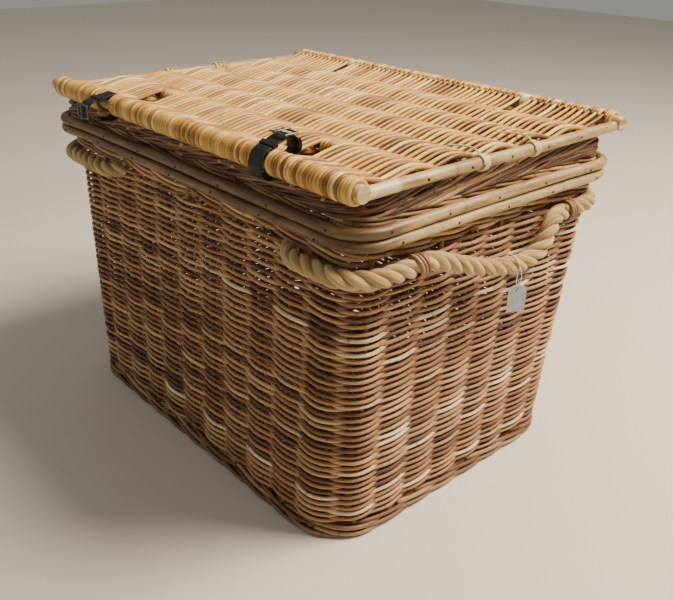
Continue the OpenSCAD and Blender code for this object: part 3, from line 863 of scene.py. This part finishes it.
def caneCoil(centre, axis, radius, turns, width, steps=22):
    # split cane wound side by side round a bar that runs along x (axis 0) or y (axis 1)
    n = int(turns * steps)
    w = np.linspace(0, 2 * np.pi * turns, n)
    path = np.zeros((n, 3))
    path[:, axis] = np.linspace(-0.5, 0.5, n) * width
    path[:, 1 - axis] = radius * np.cos(w)
    path[:, 2] = radius * np.sin(w)
    return path + np.asarray(centre)


def makeLidWeave():
    low, high = corners("lid_weave")
    count = int(round((high[0] - low[0]) / lid["pitch"]))
    rods = []
    for i in range(count):
        x = low[0] + (i + 0.5) * (high[0] - low[0]) / count
        frontOpen = min(abs(x - spot) for spot in strapPlaces.values()) < lid["strapRoom"]
        backOpen = min(abs(x - spot) for spot in hingePlaces) < lid["hingeRoom"]
        profile = strandProfile(1 if i % 2 else -1, frontOpen, backOpen)
        n = len(profile)
        keys = np.column_stack([x + dice.normal(0, 0.28, n) * mm, profile])
        keys[:, 2] += dice.normal(0, 0.2, n) * mm
        tone = float(np.clip(dice.normal(*lid["tone"]), 0.05, 1.0))
        if dice.uniform() < lid["darkShare"]:
            tone = float(dice.uniform(0.0, 0.25))
        path = smoothLine(keys, 4)
        thick = lid["strand"] * dice.uniform(0.9, 1.05)
        rods.append(dict(path=path, radius=thick * np.linspace(1.0, 0.92, len(path)), tone=tone,
                         across=(1, 0, 0), seed=newSeed()))
    # a few more turns at the right-hand end of each pole
    for y, reach in ((frontY, lid["frontWraps"]), (backY, lid["backWraps"])):
        coil = caneCoil((high[0] + reach / 2, y, poleHeight), 0, poleRadius + lid["wrap"],
                        reach / lid["pitch"] + 0.6, reach)
        rods.append(dict(path=coil, radius=lid["strand"], tone=0.6, across=(1, 0, 0), seed=newSeed()))
    half = count // 2
    for name, chosen in (("lidWeaveLeft", rods[:half]), ("lidWeaveRight", rods[half:])):
        place(rodMesh(name, chosen, 7, finishes["lid"]), "lid", "lid_weave", "lid_weave")


makeLidWeave()
print("lid woven")

# poles, rails and their ties


bar = dict(points=90, sides=24, jointEvery=0.19, swell=0.5 * mm, swellReach=4 * mm, slack=0.3 * mm)


def makeBar(name, node, axis, tone, fresh=0.0):
    # fresh is how much of the bar's start is newer, paler wood
    low, high = corners(node)
    radius = (high[2] - low[2]) / 2
    share = np.linspace(-1, 1, bar["points"])
    path = np.tile((low + high) / 2, (bar["points"], 1))
    path[:, axis] += (high[axis] - low[axis]) / 2 * share
    along = path[:, axis]
    path[:, 1 - axis] += 0.5 * mm * np.sin(along * 8 + dice.uniform(0, 6)) * (1 - share ** 4)
    path[:, 2] += 0.4 * mm * np.sin(along * 11 + dice.uniform(0, 6)) * (1 - share ** 4)
    part = np.mod(along / bar["jointEvery"] + dice.uniform(), 1)
    swell = bar["swell"] * np.exp(-((part - 0.5) * bar["jointEvery"] / bar["swellReach"]) ** 2)
    newer = 1 - ease(fresh, fresh + 2 * mm, along - along[0])
    rod = dict(path=path, radius=radius - bar["slack"] + swell + bar["slack"] * newer, tone=tone + 0.3 * newer,
               first=(0, 0, 1), seed=newSeed())
    place(rodMesh(name, [rod], bar["sides"], finishes["pole"]), "lid", "bare_pole", node)


makeBar("frontPole", "lid_front_pole", 0, 0.62)
makeBar("backPole", "lid_back_pole", 0, 0.55)
makeBar("leftRail", "lid_left_rail", 1, 0.5)
makeBar("rightRail", "lid_right_rail", 1, 0.48, fresh=50 * mm)

binding = dict(wide=9 * mm, cane=1.6 * mm, inset=4 * mm, turns=3.2, over=1.3 * mm, tail=1.1 * mm)
# its tail lies across the lid, in mm: in from the rail, along it, up
tailPoints = [(3, 0, 9.0), (11, 3, 11.8), (24, 8, 11.6), (38, 3, 11.6), (50, -4, 10.4)]


def makeBindings():
    low, high = corners("lid_rail_bindings")
    rods = []
    for side, turn in sideNames.items():
        railLow, railHigh = corners("lid_%s_rail" % side)
        railX, railRadius = (railLow[0] + railHigh[0]) / 2, (railHigh[0] - railLow[0]) / 2
        for y in (low[1] + binding["inset"], high[1] - binding["inset"]):
            coil = caneCoil((railX, y, lidHeight), 1, railRadius + binding["over"], binding["turns"],
                            binding["wide"])
            rods.append(dict(path=coil, radius=binding["cane"], tone=float(dice.uniform(0.4, 0.9)),
                             first=(0, 1, 0), seed=newSeed()))
            tail = [(railX - turn * inward * mm, y + shift * mm, lidHeight + up * mm)
                    for inward, shift, up in tailPoints]
            rods.append(dict(path=smoothLine(tail, 5), radius=binding["tail"], tone=0.8, first=(0, 0, 1),
                             seed=4.0))
    place(rodMesh("railBindings", rods, 8, finishes["cane"]), "lid", "cane", "lid_rail_bindings")


hinge = dict(turns=4, pitch=3.5 * mm, cane=1.75 * mm, away=2.3 * mm)
# where its two ends go down into the border, in mm: forwards from the back pole, down from it
hingeEnds = dict(outer=[(9, 26), (5, 16)], inner=[(17, 19), (19, 30)])


def makeHinges():
    # each hinge is a few loops of cane side by side, round the back pole and down into the border
    rods = []
    radius = poleRadius + hinge["away"]
    for spot in hingePlaces:
        for k in range(hinge["turns"]):
            x = spot + (k - (hinge["turns"] - 1) / 2) * hinge["pitch"]
            ends = {end: [(x, backY - forwards * mm, poleHeight - down * mm) for forwards, down in places]
                    for end, places in hingeEnds.items()}
            ring = [(x, backY + radius * math.cos(a), poleHeight + radius * math.sin(a))
                    for a in np.radians(np.arange(-110, 181, 14))]
            rods.append(dict(path=smoothLine(ends["outer"] + ring + ends["inner"], 2), radius=hinge["cane"],
                             tone=float(dice.uniform(0.3, 0.9)), across=(1, 0, 0), seed=newSeed()))
    place(rodMesh("hingeLoops", rods, 8, finishes["cane"]), "basket", "cane", "hinge_loops")


makeBindings()
makeHinges()
print("poles, rails and ties made")

# straps and buckles

# right and left are the bends of each strap's loop, in mm: back and up from the front pole, radius
# start is the direction from which the free end runs on, in degrees
strap = dict(wide=24 * mm, thick=2.5 * mm,
             right=[(-3, 2, 15), (24, 13, 14.5), (-4, -5, 16)],
             left=[(-29, -5, 14), (1, 1, 14.5), (-6, -8, 14.5)],
             start=dict(right=-20, left=200), spacing=2.0, overlap=6)


def bandMesh(name, line, x, width, thick, material):
    # a leather band with rounded edges: line is (y, z, outward normal y, z)
    # the second half of its outline is the first, turned over
    wide, high, edge = width / 2, thick / 2, thick * 0.5
    half = [(-wide + edge, high), (0, high), (wide - edge, high), (wide - edge * 0.3, thick * 0.36), (wide, 0),
            (wide - edge * 0.3, -thick * 0.36)]
    cross = half + [(-a, -b) for a, b in half]
    m = len(cross)
    verts = [(x + a, y + b * ny, z + b * nz) for y, z, ny, nz in line for a, b in cross]
    faces = [tuple(range(m))[::-1], tuple(range((len(line) - 1) * m, len(line) * m))]
    for i in range(len(line) - 1):
        for k in range(m):
            q = (k + 1) % m
            faces.append((i * m + k, i * m + q, (i + 1) * m + q, (i + 1) * m + k))
    mesh = bpy.data.meshes.new(name)
    mesh.from_pydata(verts, [], faces)
    mesh.materials.append(material)
    piece = bpy.data.objects.new(name, mesh)
    bpy.context.scene.collection.objects.link(piece)
    tidy = bmesh.new()
    tidy.from_mesh(mesh)
    bmesh.ops.recalc_face_normals(tidy, faces=tidy.faces)
    tidy.to_mesh(mesh)
    tidy.free()
    for face in mesh.polygons:
        face.use_smooth = len(face.vertices) == 4
    return piece


def loopLine(bends, inset, step=6):
    # the closed line round a set of circles, anticlockwise: place and outward normal
    n = len(bends)
    lines = []
    for i in range(n):
        (ya, za, ra), (yb, zb, rb) = bends[i], bends[(i + 1) % n]
        d = math.hypot(yb - ya, zb - za)
        lean = math.asin((rb - ra) / d)
        lines.append(math.degrees(math.atan2(zb - za, yb - ya) - math.pi / 2 - lean))
    out = []
    for i in range(n):
        y, z, r = bends[i]
        a0, a1 = lines[i - 1], lines[i]
        while a1 < a0:
            a1 += 360
        for a in np.linspace(a0, a1, max(3, int((a1 - a0) / step))):
            w = math.radians(a)
            ny, nz = math.cos(w), math.sin(w)
            out.append((y + (r - inset) * ny, z + (r - inset) * nz, ny, nz))
    return out


def makeStrap(side):
    bends = strap[side]
    thick = strap["thick"] / mm
    pairs = zip(bends, bends[1:] + bends[:1])
    if sum(a[0] * b[1] - b[0] * a[1] for a, b in pairs) < 0:
        bends = bends[::-1]
    loop = np.array(loopLine(bends, thick / 2))
    # open the loop under the buckle and let the free end lie on the other
    turned = np.degrees(np.arctan2(loop[:, 3], loop[:, 2])) - strap["start"][side]
    loop = np.roll(loop, -int(np.argmin(np.abs((turned + 180) % 360 - 180))), axis=0)
    keep = np.vstack([loop, loop[:max(4, len(loop) // strap["overlap"])]])
    dense = []
    for a, b in zip(keep[:-1], keep[1:]):
        count = max(1, int(math.hypot(b[0] - a[0], b[1] - a[1]) / strap["spacing"]))
        dense += [a + (b - a) * t for t in np.linspace(0, 1, count, endpoint=False)]
    dense = np.array(dense + [keep[-1]])
    dense[:, 2:] /= np.linalg.norm(dense[:, 2:], axis=1, keepdims=True)
    n = len(dense)
    lift = np.clip((np.arange(n) - n * 0.8) / (n * 0.12), 0, 1) * thick * 1.05
    line = [(frontY + (y + ny * up) * mm, poleHeight + (z + nz * up) * mm, ny, nz)
            for (y, z, ny, nz), up in zip(dense, lift)]
    piece = bandMesh(side + "Strap", line, strapPlaces[side], strap["wide"], strap["thick"],
                     finishes["leather"])
    place(piece, "lid", "leather", side + "_strap")


for side in sideNames:
    makeStrap(side)
print("straps made")

# tag and its string

tag = dict(clip=5 * mm, hole=2.2 * mm, holeDown=6 * mm, thick=0.8 * mm, turn=60)
string = dict(thick=1.2 * mm, knot=[(-1.4, 0.3), (-1.1, 1.0), (-0.5, 1.5), (0.3, 1.5), (0.9, 1.0), (1.3, 0.3)],
              loopThick=1.3 * mm, loopClear=0.7 * mm, loopLean=8)


def upBy(height):
    return np.array([0, 0, height])


def makeTag():
    # a card with two clipped corners and a punched hole
    low, high = corners("price_tag")
    stringLow, stringHigh = corners("tag_string")
    knot = np.array([(stringLow[0] + stringHigh[0]) / 2, (stringLow[1] + stringHigh[1]) / 2, stringHigh[2]])
    top, bottom = high[2], low[2]
    clip, hole = tag["clip"], tag["hole"]
    w = math.radians(tag["turn"])
    half = (high[1] - low[1]) / 2 / math.sin(w)
    across = np.array([math.cos(w), math.sin(w), 0])
    centre = np.array([knot[0], knot[1], 0])
    holeHeight = top - tag["holeDown"]
    outline = [(-half + clip, top), (half - clip, top), (half, top - clip), (half, bottom), (-half, bottom),
               (-half, top - clip)]
    ring = [(hole * math.cos(b), holeHeight + hole * math.sin(b))
            for b in np.linspace(0, 2 * np.pi, 20, endpoint=False)]
    curve = bmesh.new()
    edges = []
    for line in (outline, ring):
        verts = [curve.verts.new(centre + across * a + upBy(z)) for a, z in line]
        edges += [curve.edges.new(pair) for pair in zip(verts, verts[1:] + verts[:1])]
    bmesh.ops.triangle_fill(curve, edges=edges, use_beauty=True)
    mesh = bpy.data.meshes.new("priceTag")
    curve.to_mesh(mesh)
    curve.free()
    piece = bpy.data.objects.new("priceTag", mesh)
    bpy.context.scene.collection.objects.link(piece)
    bpy.ops.object.select_all(action="DESELECT")
    bpy.context.view_layer.objects.active = piece
    piece.select_set(True)
    thick = piece.modifiers.new("thick", "SOLIDIFY")
    thick.thickness = tag["thick"]
    thick.offset = 0
    bpy.ops.object.modifier_apply(modifier="thick")
    mesh.materials.append(finishes["card"])
    place(piece, "tag", "card", "price_tag")
    return knot, across, centre + upBy(holeHeight)


def makeString(knot, across, eye):
    # two ends of string from the knot to the hole in the card
    rods = []
    face = np.cross(across, (0, 0, 1))
    for s in (-1, 1):
        keys = [knot, knot + across * s * 2.5 * mm + upBy(-7 * mm), knot + across * s * 3 * mm + upBy(-14 * mm),
                eye + across * s * 1.5 * mm + face * s * 1.4 * mm + upBy(3 * mm),
                eye + face * s * 0.2 * mm - upBy(1 * mm)]
        rods.append(dict(path=smoothLine(keys, 6), radius=string["thick"] / 2, tone=0.7, first=(1, 0, 0),
                         seed=1.0 + s))
    ball = [knot + upBy(z * mm) for z, _ in string["knot"]]
    rods.append(dict(path=ball, radius=np.array([radius for _, radius in string["knot"]]) * mm, tone=0.6,
                     first=(1, 0, 0), seed=3.0))
    place(rodMesh("tagString", rods, 8, finishes["string"]), "tag", "string", "tag_string")


def makeLoop():
    # the loop of string round the rope
    low, high = corners("tag_loop")
    centre = (low + high) / 2
    radius = (high[2] - low[2]) / 2 - string["loopClear"]
    w = np.linspace(0, 2 * np.pi, 49)
    lean = math.radians(string["loopLean"])
    path = np.stack([centre[0] + radius * np.cos(w) * math.cos(lean),
                     centre[1] + radius * np.cos(w) * math.sin(lean), centre[2] + radius * np.sin(w)], -1)
    rod = dict(path=path, radius=string["loopThick"] / 2, tone=0.7, first=(0, 0, 1), seed=2.0)
    place(rodMesh("tagLoop", [rod], 8, finishes["string"]), "right_grip", "string", "tag_loop")


makeString(*makeTag())
makeLoop()
print("tag hung")

# base


base = dict(sticks=9, corner=64 * mm, pitch=5 * mm, rod=2.6 * mm, height=7 * mm, swing=4.2 * mm, inset=3 * mm,
            points=65, tone=(0.45, 0.15))


def makeBase():
    # strands over and under the base sticks, shorter where the corners round off
    low, high = corners("base_panel")
    rods = []
    n, corner = base["points"], base["corner"]
    step = 2 * (high[0] - corner) / (base["sticks"] - 1)
    rows = int((high[1] - low[1]) / base["pitch"])
    for row in range(rows):
        y = low[1] + (row + 0.5) * (high[1] - low[1]) / rows
        over = max(abs(y) - (high[1] - corner), 0)
        halfX = high[0] - corner + math.sqrt(max(corner ** 2 - over ** 2, 0)) - base["inset"]
        x = np.linspace(-halfX, halfX, n)
        z = base["height"] + base["swing"] * np.cos(np.pi * (x / step + row))
        rods.append(dict(path=np.stack([x, np.full(n, y), z], -1), radius=base["rod"], across=(0, 1, 0),
                         tone=float(np.clip(dice.normal(*base["tone"]), 0, 1)), seed=newSeed()))
    place(rodMesh("baseWeave", rods, 6, finishes["wall"]), "basket", "wall_weave", "base_panel")


makeBase()
print("base woven")

# materials on the machined pieces

plain = dict(lid_rail_nails="nail", lid_sticks="stake", base_sticks="stake")
for side in sideNames:
    plain.update({side + "_buckle_frame": "steel", side + "_buckle_prong": "steel",
                  side + "_strap_keeper": "leather"})
for node, finish in plain.items():
    machined = bpy.data.objects.get(node)
    machined.data.materials.clear()
    machined.data.materials.append(finishes[finish])
print("machined pieces finished")

# light

studio = dict(key=dict(spot=(1.3, 1.25, 2.6), size=1.5, power=215, colour="#ffeed8"),
              fill=dict(spot=(-1.2, -2.6, 1.2), size=2.6, power=9, colour="#f6f3f4"))
surround = dict(colour="#f4f0ea", strength=0.33, aim=(0, 0, 0.3), floor="#d9d3c8", floorSize=12)


def addLight(name, spot, size, power, colour):
    data = bpy.data.lights.new(name, "AREA")
    data.shape = "DISK"
    data.size = size
    data.energy = power
    data.color = toLinear(colour)[:3]
    piece = bpy.data.objects.new(name, data)
    towards = (Vector(surround["aim"]) - Vector(spot)).to_track_quat("-Z", "Y")
    piece.matrix_world = Matrix.Translation(spot) @ towards.to_matrix().to_4x4()
    bpy.context.scene.collection.objects.link(piece)


for name, settings in studio.items():
    addLight(name, **settings)

world = bpy.data.worlds.new("studio")
world.use_nodes = True
background = world.node_tree.nodes["Background"]
background.inputs[0].default_value = toLinear(surround["colour"])
background.inputs[1].default_value = surround["strength"]
bpy.context.scene.world = world

bpy.ops.mesh.primitive_plane_add(size=surround["floorSize"], location=(0, 0, 0))
floor = bpy.context.object
floor.name = "floor"
floor.data.materials.append(newMaterial("paleFloor", Roughness=0.8, Base_Color=toLinear(surround["floor"]))[0])
print("studio lit")
